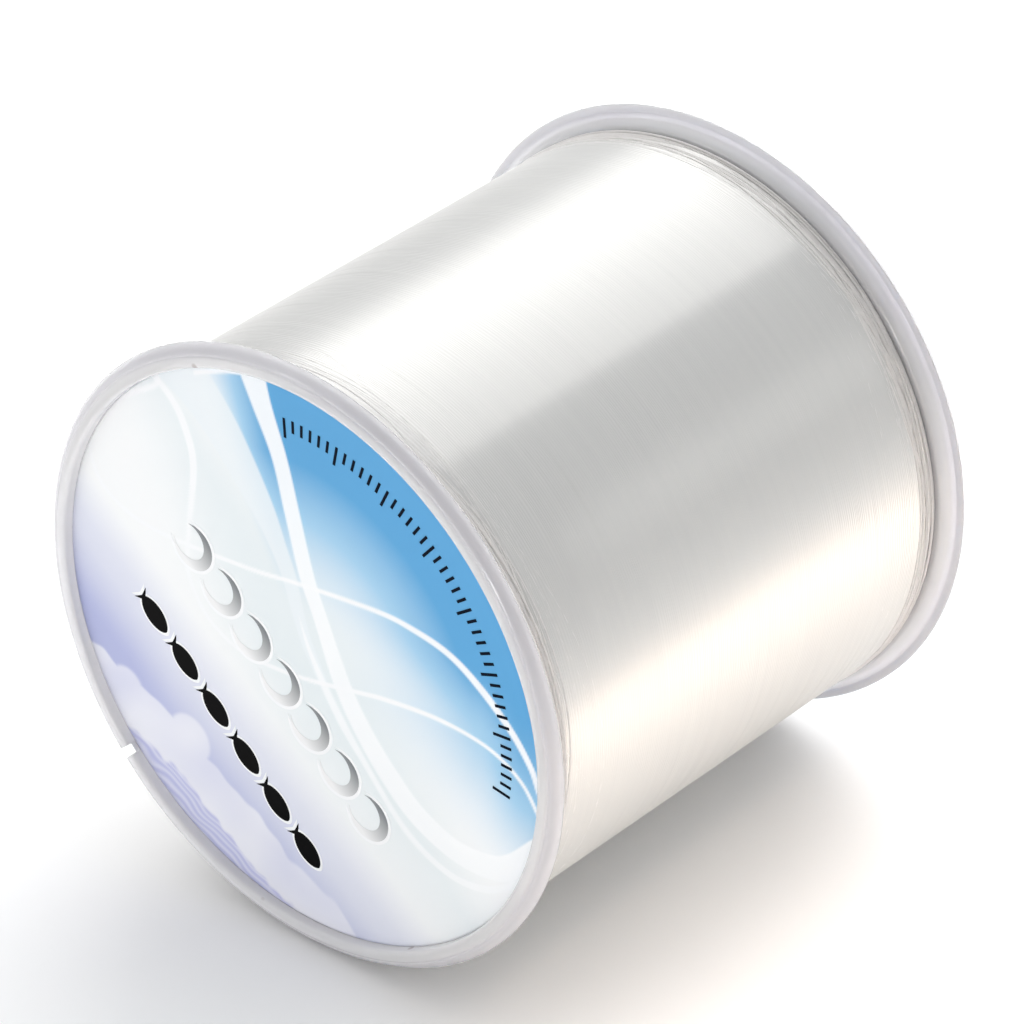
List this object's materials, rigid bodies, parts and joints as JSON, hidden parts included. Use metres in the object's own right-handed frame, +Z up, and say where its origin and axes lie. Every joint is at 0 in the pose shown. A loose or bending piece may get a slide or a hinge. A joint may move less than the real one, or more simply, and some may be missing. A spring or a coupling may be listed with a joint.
{
  "type": "fishing line spool",
  "caption": "Translucent plastic spool with rounded flange rims and a line slit, full of clear nylon fishing line, with printed end labels.",
  "frame": {"origin": "centre of the spool, on the spindle axis halfway between the two rims", "axes": "+Y along the spindle axis, out of the rear end with the open bore; -Y out of the front end with the full label; +Z up as the spool lies on its side"},
  "size_m": [0.065, 0.062, 0.065],
  "materials": {
    "flange_plastic": "translucent milky polystyrene, moulded gloss",
    "nylon_line": "clear nylon monofilament, wound in fine turns, satin",
    "front_print": "printed paper under a gloss film",
    "rear_print": "printed paper under a gloss film",
    "clear_tape": "clear polypropylene tape, slightly yellow"
  },
  "bodies": {
    "root": {"front_half": "flange_plastic", "rear_half": "flange_plastic", "line_winding": "nylon_line", "starting_tape": "clear_tape", "front_label": "front_print", "rear_label": "rear_print"}
  },
  "joints": []
}
